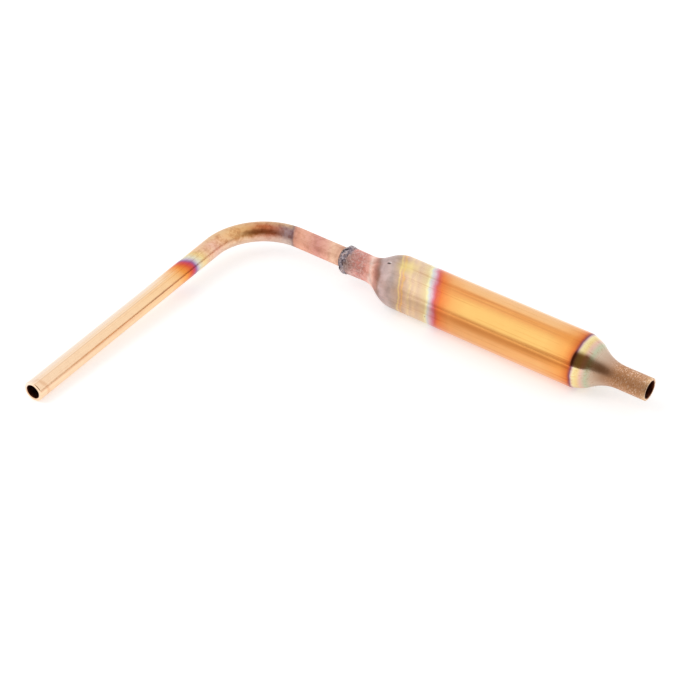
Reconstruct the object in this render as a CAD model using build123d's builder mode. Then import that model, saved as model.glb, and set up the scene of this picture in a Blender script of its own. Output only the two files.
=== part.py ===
from build123d import *
import os
from math import asin, atan, cos, degrees, hypot, pi, radians, sin, tan

# Copper filter drier for a small refrigeration circuit.
#
# The shell is one length of copper tube, spun down to a neck at each end. A bent copper tube is
# brazed into the inlet neck, and the outlet neck is left open for the next line. Inside, a bed of
# molecular sieve beads lies between an inlet screen of wire cloth and a conical outlet strainer,
# and a steel band pressed in behind each holds its rim against the shell's shoulder.
#
# Frame: the origin is the centre of the outlet neck's mouth, +X points out of that mouth along
# the shell's axis, and +Z is up. The drier lies as it comes to rest, on the shell's belly and
# the free end of its tube. All lengths are in millimetres and all angles in degrees.

# ---- shell ----
shell_length = 100.0  # mouth to mouth
body_diameter = 16.0
body_wall = 0.7
cone_wall = 0.75  # the wall gathers as it is spun down

inlet_shoulder = 16.7  # inlet mouth to the corner where the cone meets the body
inlet_shoulder_radius = 9.0
inlet_cone_angle = 32.0
inlet_throat_radius = 9.0
inlet_waist_diameter = 7.7  # the neck at its narrowest
inlet_mouth_diameter = 8.1  # the neck spreads a little towards its mouth
socket_diameter = 6.4

outlet_shoulder = 20.8  # outlet mouth to the corner where the knuckle meets the body
outlet_shoulder_radius = 2.0
outlet_knuckle_angle = 18.5
outlet_knuckle_length = 3.5  # along the axis
outlet_knuckle_radius = 7.5
outlet_cone_angle = 35.0
outlet_throat_radius = 13.0
outlet_neck_diameter = 6.6
outlet_bore_diameter = 5.0
mouth_edge_chamfer = 0.15

# ---- inlet tube ----
tube_diameter = 6.0
tube_bore_diameter = 4.0
tube_insertion = 10.0  # how far the tube is pushed into the neck
tube_reach = 18.0  # inlet mouth to the start of the bend
bend_radius = 18.0  # to the tube's centreline
bend_angle = 93.0
leg_length = 80.0
tube_film = 0.05  # the tube lies against the top of its socket, with this film of alloy between
tip_edge_chamfer = 0.3  # rolled in by the cutter's wheel
tip_bore_chamfer = 0.12

# ---- braze ----
braze_toe = 1.5  # how far the fillet runs out along the tube
braze_lap = 1.5  # how far it laps back over the neck
braze_height = 0.3  # over the neck's mouth
braze_depth = 7.0  # how far the alloy is drawn into the socket
drip_radius = 0.9
drip_height = 0.22  # over the fillet
drip_angles = (16, 205)  # round the tube, from the top
drip_steps = (0.1, -0.3)  # each along the axis, from the mouth

# ---- screens and the bands that hold them against the shoulders ----
rim_clearance = 0.1
band_width = 1.2  # along the shell's wall
band_depth = 1.6  # in from the shell's wall
wire_thickness = 0.3
wire_width = 0.55
wire_pitch = 2.2
strainer_mouth_diameter = 10.0  # outside the cone, at its flange
strainer_tip_diameter = 4.0
strainer_length = 5.0  # from the flange's outer face to the tip
strainer_wall = 0.4
strainer_gap = 1.0
strainer_pitch = 2.4

# ---- bed of beads ----
bed_clearance = 0.1

# Sizes that follow from those above
body_radius = body_diameter / 2
inner_radius = body_radius - body_wall
waist_radius = inlet_waist_diameter / 2
mouth_radius = inlet_mouth_diameter / 2
socket_radius = socket_diameter / 2
neck_radius = outlet_neck_diameter / 2
bore_radius = outlet_bore_diameter / 2
tube_radius = tube_diameter / 2
inlet_mouth = -shell_length
tube_lift = socket_radius - tube_radius - tube_film


def rise(run, angle):
    """Height gained over a run at an angle."""
    return run * tan(radians(angle))


def run_for(height, angle):
    """Run over which an angle gains a height."""
    return height / tan(radians(angle))


def inner_corner(corner, before, wall_before, after, wall_after):
    """The inside corner of a wall under its outside corner, from each side's slope and wall."""
    a = radians(before)
    b = radians(after)
    along = (wall_after * cos(a) - wall_before * cos(b)) / sin(b - a)
    up = (wall_after * sin(a) - wall_before * sin(b)) / sin(b - a)
    return corner[0] + along, corner[1] + up


def side_and_turn(points, i):
    """The length of the side that ends at a corner, and the angle that the corner turns by."""
    side = Vector(points[i]) - Vector(points[i - 1])
    following = Vector(points[i + 1]) - Vector(points[i])
    return side.length, radians(side.get_angle(following))


def fitting_radii(points, radii):
    """The corner radii, each cut down only where two arcs would meet along the side they share."""
    corners = [side_and_turn(points, i) for i in range(1, len(points) - 1)]
    fitted = list(radii)
    for i in range(1, len(corners)):
        room = corners[i][0]
        used = fitted[i - 1] * tan(corners[i - 1][1] / 2) + fitted[i] * tan(corners[i][1] / 2)
        share = min(1, 0.99 * room / used)
        fitted[i - 1] *= share
        fitted[i] *= share
    return fitted


def cut_across(before, corner, after, radius):
    """The two ends of the arc that would round a corner, so that a short cone can stand for it."""
    reach = radius * tan(side_and_turn([before, corner, after], 1)[1] / 2)
    return [
        tuple(Vector(corner) + (Vector(before) - Vector(corner)).normalized() * reach)[:2],
        tuple(Vector(corner) + (Vector(after) - Vector(corner)).normalized() * reach)[:2],
    ]


# Outside corners of the shell, from the inlet neck to the outlet neck, as (x, radius)
inlet_corner = (inlet_mouth + inlet_shoulder, body_radius)
waist_corner = (
    inlet_corner[0] - run_for(body_radius - waist_radius, inlet_cone_angle),
    waist_radius,
)
outlet_corner = (-outlet_shoulder, body_radius)
knuckle_corner = (
    outlet_corner[0] + outlet_knuckle_length,
    body_radius - rise(outlet_knuckle_length, outlet_knuckle_angle),
)
neck_corner = (
    knuckle_corner[0] + run_for(knuckle_corner[1] - neck_radius, outlet_cone_angle),
    neck_radius,
)

# The same corners on the inside, with the wide bend at the inlet shoulder cut straight across
socket_end = inner_corner(waist_corner, 0, waist_radius - socket_radius, inlet_cone_angle, cone_wall)
inlet_inside = inner_corner(inlet_corner, inlet_cone_angle, cone_wall, 0, body_wall)
outlet_inside = inner_corner(outlet_corner, 0, body_wall, -outlet_knuckle_angle, body_wall)
knuckle_inside = inner_corner(
    knuckle_corner, -outlet_knuckle_angle, body_wall, -outlet_cone_angle, cone_wall
)
bore_end = inner_corner(neck_corner, -outlet_cone_angle, cone_wall, 0, neck_radius - bore_radius)

outside_points = [
    (inlet_mouth, mouth_radius),
    waist_corner,
    inlet_corner,
    outlet_corner,
    knuckle_corner,
    neck_corner,
    (0, neck_radius),
]
inlet_cut = cut_across(
    socket_end, inlet_inside, outlet_inside, inlet_shoulder_radius - cone_wall
)
inside_points = [
    (inlet_mouth, socket_radius),
    socket_end,
    *inlet_cut,
    outlet_inside,
    knuckle_inside,
    bore_end,
    (0, bore_radius),
]
outside_radii = fitting_radii(
    outside_points,
    [
        inlet_throat_radius,
        inlet_shoulder_radius,
        outlet_shoulder_radius,
        outlet_knuckle_radius,
        outlet_throat_radius,
    ],
)
# Where the straight inside wall ends at each shoulder, which is where the bands are seated
inlet_seat = inlet_cut[1][0]
outlet_seat = outlet_inside[0]

# The lean of the bent tube that brings its free end down to the surface under the shell
leg_reach = bend_radius * (1 - cos(radians(bend_angle))) + leg_length * sin(radians(bend_angle))
tip_below = tube_radius - tube_lift
lean = asin(body_radius / hypot(leg_reach, tip_below)) - atan(tip_below / leg_reach)
bend_up = Vector(0, -sin(lean), cos(lean))
tube_plane = Plane(
    origin=Vector(inlet_mouth, 0, 0) + bend_up * tube_lift,
    x_dir=(-1, 0, 0),
    z_dir=bend_up,
)
tube_start = Plane(
    origin=tube_plane.from_local_coords((-tube_insertion, 0, 0)),
    x_dir=tube_plane.y_dir,
    z_dir=tube_plane.x_dir,
)
bend_axis = Axis(tube_plane.from_local_coords((tube_reach, bend_radius, 0)), tube_plane.z_dir)


# ---- shell: spun from one length of copper tube ----
with BuildPart() as shell:
    with BuildSketch(Plane.XY):
        with BuildLine():
            outside = FilletPolyline(*outside_points, radius=outside_radii)
            inside = Polyline(*inside_points)
            Line(outside @ 0, inside @ 0)
            Line(outside @ 1, inside @ 1)
        make_face()
    revolve(axis=Axis.X)
    mouth_rims = shell.edges().filter_by(GeomType.CIRCLE).group_by(Axis.X)[-1]
    chamfer(mouth_rims.sort_by(SortBy.RADIUS)[-1], mouth_edge_chamfer)


# ---- inlet tube: drawn copper tube, bent once and cut to length ----
def tube_end(along):
    """The flat end of the tube that lies lowest along an axis."""
    return inlet_tube.faces().filter_by(GeomType.PLANE).sort_by(along)[0]


with BuildPart() as inlet_tube:
    with BuildSketch(tube_start):
        Circle(tube_radius)
        Circle(tube_bore_diameter / 2, mode=Mode.SUBTRACT)
    extrude(amount=tube_insertion + tube_reach)
    revolve(tube_end(Axis.X), axis=bend_axis, revolution_arc=bend_angle)
    extrude(tube_end(Axis.Y), amount=leg_length)
    chamfer(tube_end(Axis.Y).edges().sort_by(SortBy.RADIUS)[0], tip_bore_chamfer)
    chamfer(tube_end(Axis.Y).edges().sort_by(SortBy.RADIUS)[-1], tip_edge_chamfer)


# ---- braze: the alloy drawn into the socket, its fillet round the mouth, and the drips on it ----
fillet_top = mouth_radius + braze_height
drip_centre = fillet_top + drip_height - drip_radius
with BuildPart() as braze_fillet:
    with BuildSketch(Plane.XY):
        with BuildLine():
            Polyline(
                (inlet_mouth - braze_toe, tube_radius - tube_lift),
                (inlet_mouth - braze_toe / 2, mouth_radius),
                (inlet_mouth, fillet_top),
                (inlet_mouth + braze_lap, waist_radius),
                (inlet_mouth + braze_depth, waist_radius),
                (inlet_mouth + braze_depth, 0),
                (inlet_mouth - braze_toe, 0),
                close=True,
            )
        make_face()
    revolve(axis=Axis.X)
    drips = [
        Vector(inlet_mouth + step, 0, drip_centre).rotate(Axis.X, angle)
        for angle, step in zip(drip_angles, drip_steps)
    ]
    with Locations(*drips):
        Sphere(drip_radius)
    add(shell.part, mode=Mode.SUBTRACT)
    with BuildSketch(tube_start):
        Circle(tube_radius)
    extrude(amount=tube_insertion + tube_reach, mode=Mode.SUBTRACT)


# ---- screens: the rim of each lies on a shoulder, with a band pressed in behind it ----
rim_radius = inner_radius - rim_clearance
band_bore_radius = inner_radius - band_depth
cloth_thickness = 2 * wire_thickness
inlet_band_face = inlet_seat + cloth_thickness
outlet_band_face = outlet_seat - strainer_wall


def pressed_band(face):
    """A flat band that fills the shell's wall out, starting at a face across the axis."""
    with BuildPart() as band:
        with BuildSketch(Plane.YZ.offset(face)):
            Circle(inner_radius)
            Circle(band_bore_radius, mode=Mode.SUBTRACT)
        extrude(amount=band_width)
    return band


inlet_screen_band = pressed_band(inlet_band_face)
outlet_strainer_band = pressed_band(outlet_band_face - band_width)

# Inlet screen: a disc of plain wire cloth, its weft laid across its warp and pressed flat
wires_across = 2 * int(rim_radius / wire_pitch) + 1
with BuildPart() as inlet_screen:
    for layer, across in enumerate((Vector(0, 1, 0), Vector(0, 0, 1))):
        layer_start = inlet_seat + layer * wire_thickness
        with BuildSketch(Plane(origin=(layer_start, 0, 0), x_dir=across, z_dir=(1, 0, 0))):
            with GridLocations(wire_pitch, wire_pitch, wires_across, 1):
                Rectangle(wire_width, 2 * rim_radius)
            Circle(rim_radius, mode=Mode.INTERSECT)
        extrude(amount=wire_thickness)

# Outlet strainer: a flanged cone that points out of the bed, with rows of gaps round it
cone_mouth = strainer_mouth_diameter / 2
cone_tip = strainer_tip_diameter / 2
cone_end = outlet_band_face + strainer_length
cone_lean = degrees(atan((cone_mouth - cone_tip) / strainer_length))
cone_slope = hypot(cone_mouth - cone_tip, strainer_length)
wall_across = strainer_wall / cos(radians(cone_lean))  # the cone's wall, square to the axis
wall_taper = rise(strainer_wall, cone_lean)
row_count = int(cone_slope / strainer_pitch)

gap_places = []
for row in range(1, row_count + 1):
    row_share = row / (row_count + 1)
    row_radius = cone_mouth + (cone_tip - cone_mouth) * row_share - wall_across / 2
    gaps_in_row = int(2 * pi * row_radius / strainer_pitch)
    for gap in range(gaps_in_row):
        turn = 360 * gap / gaps_in_row
        centre = Vector(outlet_band_face + strainer_length * row_share, row_radius, 0)
        outward = Vector(sin(radians(cone_lean)), cos(radians(cone_lean)), 0)
        gap_places.append(
            Plane(
                origin=centre.rotate(Axis.X, turn),
                x_dir=Vector(0, 0, 1).rotate(Axis.X, turn),
                z_dir=outward.rotate(Axis.X, turn),
            )
        )

with BuildPart() as outlet_strainer:
    with BuildSketch(Plane.XY):
        with BuildLine():
            Polyline(
                (outlet_band_face, rim_radius),
                (outlet_seat, rim_radius),
                (outlet_seat, cone_mouth - wall_taper),
                (cone_end, cone_tip),
                (cone_end, 0),
                (cone_end - strainer_wall, 0),
                (cone_end - strainer_wall, cone_tip + wall_taper - wall_across),
                (outlet_band_face, cone_mouth - wall_across),
                close=True,
            )
        make_face()
    revolve(axis=Axis.X)
    with Locations(*gap_places):
        Box(strainer_gap, strainer_gap, 2 * strainer_wall, mode=Mode.SUBTRACT)


# ---- bed: beads poured in until they fill the body between the screens ----
with BuildPart() as molecular_sieve:
    bed_start = inlet_band_face + band_width + bed_clearance
    bed_end = outlet_band_face - band_width - bed_clearance
    with BuildSketch(Plane.YZ.offset(bed_start)):
        Circle(inner_radius - bed_clearance)
    extrude(amount=bed_end - bed_start)
    with BuildSketch(Plane.YZ.offset(inlet_band_face + bed_clearance)):
        Circle(band_bore_radius - bed_clearance)
    extrude(amount=outlet_band_face - inlet_band_face - 2 * bed_clearance)


pieces = {
    "shell": shell,
    "inlet_tube": inlet_tube,
    "braze_fillet": braze_fillet,
    "inlet_screen": inlet_screen,
    "inlet_screen_band": inlet_screen_band,
    "molecular_sieve": molecular_sieve,
    "outlet_strainer": outlet_strainer,
    "outlet_strainer_band": outlet_strainer_band,
}
os.makedirs("parts", exist_ok=True)
for name, piece in pieces.items():
    piece.part.label = name
    export_step(piece.part, f"parts/{name}.step")
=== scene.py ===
from math import acos, ceil, cos, hypot, pi, radians, sin, sqrt, tan

import bmesh
import bpy
from mathutils import Matrix, Vector, noise


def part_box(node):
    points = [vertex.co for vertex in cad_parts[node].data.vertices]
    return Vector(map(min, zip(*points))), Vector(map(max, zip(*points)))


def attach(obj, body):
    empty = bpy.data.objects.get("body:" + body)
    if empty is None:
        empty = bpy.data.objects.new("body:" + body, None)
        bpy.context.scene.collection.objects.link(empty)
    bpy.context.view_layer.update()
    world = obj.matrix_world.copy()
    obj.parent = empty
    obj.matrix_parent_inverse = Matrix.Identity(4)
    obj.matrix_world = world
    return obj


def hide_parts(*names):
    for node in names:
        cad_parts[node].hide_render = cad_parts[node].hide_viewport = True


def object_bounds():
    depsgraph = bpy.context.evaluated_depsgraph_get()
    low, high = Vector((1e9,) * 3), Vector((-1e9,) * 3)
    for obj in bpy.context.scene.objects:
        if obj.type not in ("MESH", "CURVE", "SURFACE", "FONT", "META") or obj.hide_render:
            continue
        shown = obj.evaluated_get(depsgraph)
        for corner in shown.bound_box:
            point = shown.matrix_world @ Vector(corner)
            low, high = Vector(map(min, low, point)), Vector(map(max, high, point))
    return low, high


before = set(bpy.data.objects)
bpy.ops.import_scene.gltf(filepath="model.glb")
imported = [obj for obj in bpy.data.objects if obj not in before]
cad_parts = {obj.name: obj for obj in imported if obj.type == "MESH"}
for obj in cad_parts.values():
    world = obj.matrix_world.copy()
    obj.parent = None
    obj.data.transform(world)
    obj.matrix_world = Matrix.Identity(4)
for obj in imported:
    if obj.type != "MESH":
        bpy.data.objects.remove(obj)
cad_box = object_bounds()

# ----------------------------------------------------------------------------------------
# Shell: one length of copper tube, its ends spun down to necks by a roller as it turned.
# The flame that brazed the inlet tube left matte salmon scale and a row of oxide colours.
# ----------------------------------------------------------------------------------------
MM = 0.001  # every size below is in millimetres
shell_low, shell_high = (Vector(corner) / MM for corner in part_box("shell"))
inlet_mouth = shell_low.x
body_radius = (shell_high.z - shell_low.z) / 2
body_wall = 0.7
cone_wall = 0.75
waist_radius = 3.85
mouth_radius = 4.05
socket_radius = 3.2
neck_radius = 3.3
bore_radius = 2.5
inlet_shoulder = 16.7
inlet_cone_angle = 32.0
outlet_shoulder = 20.8
knuckle_angle = 18.5
knuckle_length = 3.5
outlet_cone_angle = 35.0
rim_round = 0.2
shoulder_round = 9.0
knuckle_round = 7.5
throat_round = 12.0
bore_round = 10.0
inside_round = 8.0
shell_length = 100.0
shell_facets = 144


def srgb(code):
    """A hex colour as linear red, green, blue and alpha."""
    parts = [int(code[i:i + 2], 16) / 255 for i in (1, 3, 5)]
    return (*(p / 12.92 if p <= 0.04045 else ((p + 0.055) / 1.055) ** 2.4 for p in parts), 1.0)


def join(tree, node, inputs):
    """Give a node's inputs their values or links. A node stands for the first output that it has on."""
    for key, value in inputs.items():
        if isinstance(value, bpy.types.Node):
            value = next(socket for socket in value.outputs if socket.enabled)
        if isinstance(value, bpy.types.NodeSocket):
            tree.links.new(value, node.inputs[key])
        else:
            node.inputs[key].default_value = value


def add(tree, kind, inputs=None, stops=(), span=(0.0, 1.0), **settings):
    """Add a node with its settings, inputs and links, and a ramp's stops, placed within its span."""
    node = tree.nodes.new(kind)
    for name, value in settings.items():
        setattr(node, name, value)
    join(tree, node, inputs or {})
    for number, (spot, shade) in enumerate(stops):
        if number == len(node.color_ramp.elements):
            node.color_ramp.elements.new(1.0)
        element = node.color_ramp.elements[number]
        element.position = (spot - span[0]) / (span[1] - span[0])
        element.color = srgb(shade) if isinstance(shade, str) else (shade, shade, shade, 1.0)
    return node


def new_material(name, carried=""):
    """A new material, its tree and shader, and its place in mm from the object or a carried attribute."""
    material = bpy.data.materials.new(name)
    material.use_nodes = True
    tree = material.node_tree
    if carried:
        place = add(tree, "ShaderNodeAttribute", attribute_name=carried).outputs["Vector"]
    else:
        place = add(tree, "ShaderNodeTexCoord").outputs["Object"]
    mm = add(tree, "ShaderNodeMapping", {"Vector": place, "Scale": (1 / MM,) * 3})
    return material, tree, tree.nodes["Principled BSDF"], mm


def new_tree(name, takes, gives):
    """A new geometry tree with named inputs and one output, and the sockets of its inputs."""
    tree = bpy.data.node_groups.new(name, "GeometryNodeTree")
    for label, kind in takes.items():
        tree.interface.new_socket(label, in_out="INPUT", socket_type="NodeSocket" + kind)
    tree.interface.new_socket(gives, in_out="OUTPUT", socket_type="NodeSocketGeometry")
    return tree, tree.nodes.new("NodeGroupInput").outputs


def inner_corner(corner, before, wall_before, after, wall_after):
    """The inside corner of a wall under its outside corner, from each side's slope and wall."""
    a, b = radians(before), radians(after)
    along = (wall_after * cos(a) - wall_before * cos(b)) / sin(b - a)
    up = (wall_after * sin(a) - wall_before * sin(b)) / sin(b - a)
    return corner[0] + along, corner[1] + up


def section(corners, arc_step, run_step):
    """A closed section from corners (x, radius from the axis, corner radius), as a list of points."""
    line = []
    for i, (x, y, radius) in enumerate(corners):
        corner = Vector((x, y))
        back = (Vector(corners[i - 1][:2]) - corner).normalized()
        on = (Vector(corners[(i + 1) % len(corners)][:2]) - corner).normalized()
        turn = acos(max(-1.0, min(1.0, -back.dot(on))))
        if radius == 0 or turn < 0.001:  # a corner left sharp, or a straight run
            line.append(corner)
            continue
        start = corner + back * radius * tan(turn / 2)
        middle = corner + (back + on).normalized() * radius / cos(turn / 2)
        way = -1 if back.x * on.y - back.y * on.x > 0 else 1
        count = max(3, ceil(turn * radius / arc_step))
        arm = start - middle
        for k in range(count + 1):
            a = way * turn * k / count
            line.append(middle + Vector((arm.x * cos(a) - arm.y * sin(a), arm.x * sin(a) + arm.y * cos(a))))
    points = []
    for a, b in zip(line, line[1:] + line[:1]):
        count = max(1, round((b - a).length / run_step))
        points += [a.lerp(b, k / count) for k in range(count)]
    return points


def turned_wall_tree():
    """Nodes that turn a closed section about the X axis and keep each point's place as `lathe`."""
    tree, given = new_tree("turned_wall", {
        "Section": "Geometry", "Steps": "Int", "Turning radius": "Float", "Material": "Material"}, "Wall")
    outline = add(tree, "GeometryNodeMeshToCurve", {"Mesh": given["Section"]})
    path = add(tree, "GeometryNodeCurvePrimitiveCircle", {
        "Resolution": given["Steps"], "Radius": given["Turning radius"]})
    wall = add(tree, "GeometryNodeCurveToMesh", {"Curve": path, "Profile Curve": outline})
    laid = add(tree, "GeometryNodeTransform", {"Geometry": wall, "Rotation": (0, pi / 2, 0)})
    place = add(tree, "GeometryNodeInputPosition")
    kept = add(tree, "GeometryNodeStoreNamedAttribute", {
        "Geometry": laid, "Name": "lathe", "Value": place}, data_type="FLOAT_VECTOR")
    real = add(tree, "GeometryNodeRealizeInstances", {"Geometry": kept})
    dressed = add(tree, "GeometryNodeSetMaterial", {"Geometry": real, "Material": given["Material"]})
    add(tree, "NodeGroupOutput", {"Wall": dressed})
    return tree


def placed(name, data):
    """A new object in the scene for a mesh, a lamp or a camera."""
    thing = bpy.data.objects.new(name, data)
    bpy.context.scene.collection.objects.link(thing)
    return thing


def grown(name, mesh, tree, inputs):
    """A new object whose plain mesh is what a node tree makes of the mesh it is given."""
    piece = placed(name, mesh)
    modifier = piece.modifiers.new("making", "NODES")
    modifier.node_group = tree
    for item in tree.interface.items_tree:
        if item.in_out == "INPUT" and item.name in inputs:
            modifier[item.identifier] = inputs[item.name]
    graph = bpy.context.evaluated_depsgraph_get()
    made = bpy.data.meshes.new_from_object(piece.evaluated_get(graph), depsgraph=graph)
    piece.modifiers.remove(modifier)
    piece.data = made
    made.name = name
    return piece


def turned(name, points, steps, material):
    """A piece turned from a closed section in millimetres, its axis on X."""
    mesh = bpy.data.meshes.new(name)
    spots = [((p.y - body_radius) * MM, -p.x * MM, 0) for p in points]
    mesh.from_pydata(spots, [(i, (i + 1) % len(spots)) for i in range(len(spots))], [])
    inputs = {"Steps": steps, "Turning radius": body_radius * MM, "Material": material}
    return grown(name, mesh, turned_wall, inputs)


def finished(piece, inside=None):
    """Merge doubles, turn faces outward, smooth, and give the faces of a bore their own material."""
    shape = bmesh.new()
    shape.from_mesh(piece.data)
    bmesh.ops.remove_doubles(shape, verts=shape.verts, dist=1e-8)
    bmesh.ops.recalc_face_normals(shape, faces=shape.faces)
    for face in shape.faces:
        face.smooth = True
        if inside is not None:
            middle = face.calc_center_median()
            face.material_index = 1 if face.normal.y * middle.y + face.normal.z * middle.z < -1e-9 else 0
    shape.to_mesh(piece.data)
    shape.free()
    if inside is not None:
        piece.data.materials.append(inside)


def faced_patch(tree, coat, side, facing, edges, share, where, shade):
    """A shade mixed into a coat on the side of the part that faces one way, up to a share, where told."""
    faced = add(tree, "ShaderNodeVectorMath", {0: side, 1: facing}, operation="DOT_PRODUCT")
    zone = add(tree, "ShaderNodeMapRange", {
        "Value": faced, "From Min": edges[0], "From Max": edges[1], "To Min": 0.0, "To Max": share},
        interpolation_type="SMOOTHSTEP")
    laid = add(tree, "ShaderNodeMath", {0: zone, 1: where}, operation="MULTIPLY")
    return add(tree, "ShaderNodeMix", {"Factor": laid, "A": coat, "B": srgb(shade)}, data_type="RGBA")


turned_wall = turned_wall_tree()

# Spun copper: bright and drawn along the body, matte and scaled where the flame was, and ringed
# by the roller on the necks. The oxide film runs through straw, violet, red and orange bands.
# The scale of a pattern is per millimetre, here and in every material: 0.25 repeats in 4 mm.
spun_copper, tree, shader, mm = new_material("spun_copper_torch_tinted")
axes = add(tree, "ShaderNodeSeparateXYZ", {"Vector": mm}).outputs
from_mouth = add(tree, "ShaderNodeMath", {0: axes["X"], 1: -inlet_mouth}, operation="ADD")

# The flame stood behind the inlet, so its colours reach further along the front of the body.
hot_end = add(tree, "ShaderNodeMapRange", {
    "Value": from_mouth, "From Min": 40.0, "From Max": 60.0, "To Min": 0.5, "To Max": 0.0})
lean = add(tree, "ShaderNodeMath", {0: axes["Y"], 1: hot_end}, operation="MULTIPLY")
waver = add(tree, "ShaderNodeTexNoise", {"Vector": mm, "Scale": 0.3, "Detail": 3.0, "Roughness": 0.6})
swing = add(tree, "ShaderNodeMapRange", {
    "Value": from_mouth, "From Min": 60.0, "From Max": 76.0, "To Min": 2.2, "To Max": 0.5})
waver_each_way = add(tree, "ShaderNodeMath", {0: waver, 1: -0.5}, operation="ADD")
shift = add(tree, "ShaderNodeMath", {0: waver_each_way, 1: swing, 2: lean}, operation="MULTIPLY_ADD")
heat = add(tree, "ShaderNodeMath", {0: from_mouth, 1: shift}, operation="ADD")
half_way = shell_length / 2
near = add(tree, "ShaderNodeMapRange", {"Value": heat, "From Min": 0.0, "From Max": half_way})
far = add(tree, "ShaderNodeMapRange", {"Value": heat, "From Min": half_way, "From Max": shell_length})
# The near ramp also paints a pale ring at the inlet waist, a painted highlight.
near_tint = add(tree, "ShaderNodeValToRGB", {"Fac": near}, span=(0.0, half_way), stops=(
    (0.0, "#a88e8a"), (1.4, "#c79a92"), (3.0, "#e4a49b"), (6.0, "#dd9589"), (7.6, "#e6aa9b"),
    (8.6, "#f8d8cb"), (9.7, "#f1bfae"), (10.7, "#c98f80"), (11.7, "#ad8677"), (13.0, "#d3b9b6"),
    (16.5, "#c9b3ab"), (18.8, "#cfb199"), (19.3, "#f6d794"), (19.8, "#dcaf98"), (20.4, "#f3c27e"),
    (20.9, "#e3bda0"), (21.8, "#ebcbac"), (22.7, "#f3d6a8"), (23.4, "#e8c7aa"), (24.6, "#f1d3ac"),
    (25.6, "#e6c6a8"), (26.6, "#eacca8"), (28.2, "#ecd4a4"), (28.9, "#f8f0be"), (29.6, "#dfe0de"),
    (30.3, "#e5c3cb"), (31.1, "#dc8a9a"), (31.9, "#dd6a58"), (33.2, "#ed8346"), (37.0, "#f4a660"),
    (50.0, "#f7b068")))
far_tint = add(tree, "ShaderNodeValToRGB", {"Fac": far}, span=(half_way, shell_length), stops=(
    (50.0, "#f7b068"), (70.0, "#f7af64"), (76.5, "#f2a052"), (78.8, "#df7a3c"), (79.35, "#b45c44"),
    (79.7, "#86566a"), (80.0, "#dcb9b4"), (80.4, "#f8e8b0"), (81.4, "#f1d695"), (82.4, "#e8bfae"),
    (83.6, "#c3c8aa"), (84.8, "#d3bca6"), (88.0, "#c8a58d"), (91.0, "#c8936c"), (98.5, "#cf9c76"),
    (99.6, "#e6ba8e")))
is_far = add(tree, "ShaderNodeMath", {0: heat, 1: half_way}, operation="GREATER_THAN")
tint = add(tree, "ShaderNodeMix", {"Factor": is_far, "A": near_tint, "B": far_tint}, data_type="RGBA")

# Painted light along the drum, by which way the surface faces: a golden painted highlight along the upper
# front, paler painted reflections underneath and along the top, a darker painted reflection low on the front,
# and two thin darker lines high on the front.
round_axis = add(tree, "ShaderNodeVectorMath", {0: mm, 1: (0.0, 1.0, 1.0)}, operation="MULTIPLY")
side = add(tree, "ShaderNodeVectorMath", {0: round_axis}, operation="NORMALIZE")
past_flame = add(tree, "ShaderNodeMapRange", {
    "Value": heat, "From Min": 33.0, "From Max": 42.0, "To Min": 0.0, "To Max": 1.0})
before_neck = add(tree, "ShaderNodeMapRange", {
    "Value": heat, "From Min": 70.0, "From Max": 79.0, "To Min": 1.0, "To Max": 0.0})
on_drum = add(tree, "ShaderNodeMath", {0: past_flame, 1: before_neck}, operation="MULTIPLY")
for facing, edges, share, shade in (
        ((0.0, -0.777, 0.629), (0.89, 0.995), 0.95, "#f5c374"),
        ((0.0, -0.94, -0.342), (0.85, 0.995), 0.8, "#f4bb7c"),
        ((0.0, 0.342, 0.94), (0.8, 0.93), 0.9, "#f9c48a"),
        ((0.0, -0.978, 0.208), (0.96, 0.998), 0.35, "#d3843f"),
        ((0.0, -0.225, 0.974), (0.9972, 0.9994), 0.4, "#d98c4c"),
        ((0.0, -0.38, 0.925), (0.9988, 0.9997), 0.35, "#d98c4c")):
    tint = faced_patch(tree, tint, side, facing, edges, share, on_drum, shade)

# Drawing lines run the whole body, drawn wider than real so that they show.
drawn_map = add(tree, "ShaderNodeMapping", {"Vector": mm, "Scale": (0.008, 0.9, 0.9)})
drawn = add(tree, "ShaderNodeTexNoise", {"Vector": drawn_map, "Scale": 1.0, "Detail": 6.0, "Roughness": 0.7})
streak = add(tree, "ShaderNodeValToRGB", {"Fac": drawn}, stops=(
    (0.0, "#b07a50"), (0.38, "#d9b08c"), (0.44, "#ffffff"), (0.58, "#ffffff"), (0.63, "#e2bd9a"),
    (0.67, "#ffffff")))
on_body = add(tree, "ShaderNodeMapRange", {
    "Value": from_mouth, "From Min": 18.0, "From Max": 34.0, "To Min": 0.3, "To Max": 0.5})
off_neck = add(tree, "ShaderNodeMapRange", {
    "Value": from_mouth, "From Min": 82.0, "From Max": 89.0, "To Min": 1.0, "To Max": 0.1})
line_share = add(tree, "ShaderNodeMath", {0: on_body, 1: off_neck}, operation="MULTIPLY")
lined = add(tree, "ShaderNodeMix", {
    "Factor": line_share, "A": tint, "B": streak}, data_type="RGBA", blend_type="MULTIPLY")

# Scattered pits, about one each 4 mm, hold a dot of dark oxide.
pits = add(tree, "ShaderNodeTexVoronoi", {"Vector": mm, "Scale": 0.26})
pitted = add(tree, "ShaderNodeMapRange", {
    "Value": pits, "From Min": 0.03, "From Max": 0.06, "To Min": 0.7, "To Max": 0.0})
dotted = add(tree, "ShaderNodeMix", {"Factor": pitted, "A": lined, "B": srgb("#8a4a24")}, data_type="RGBA")

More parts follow.
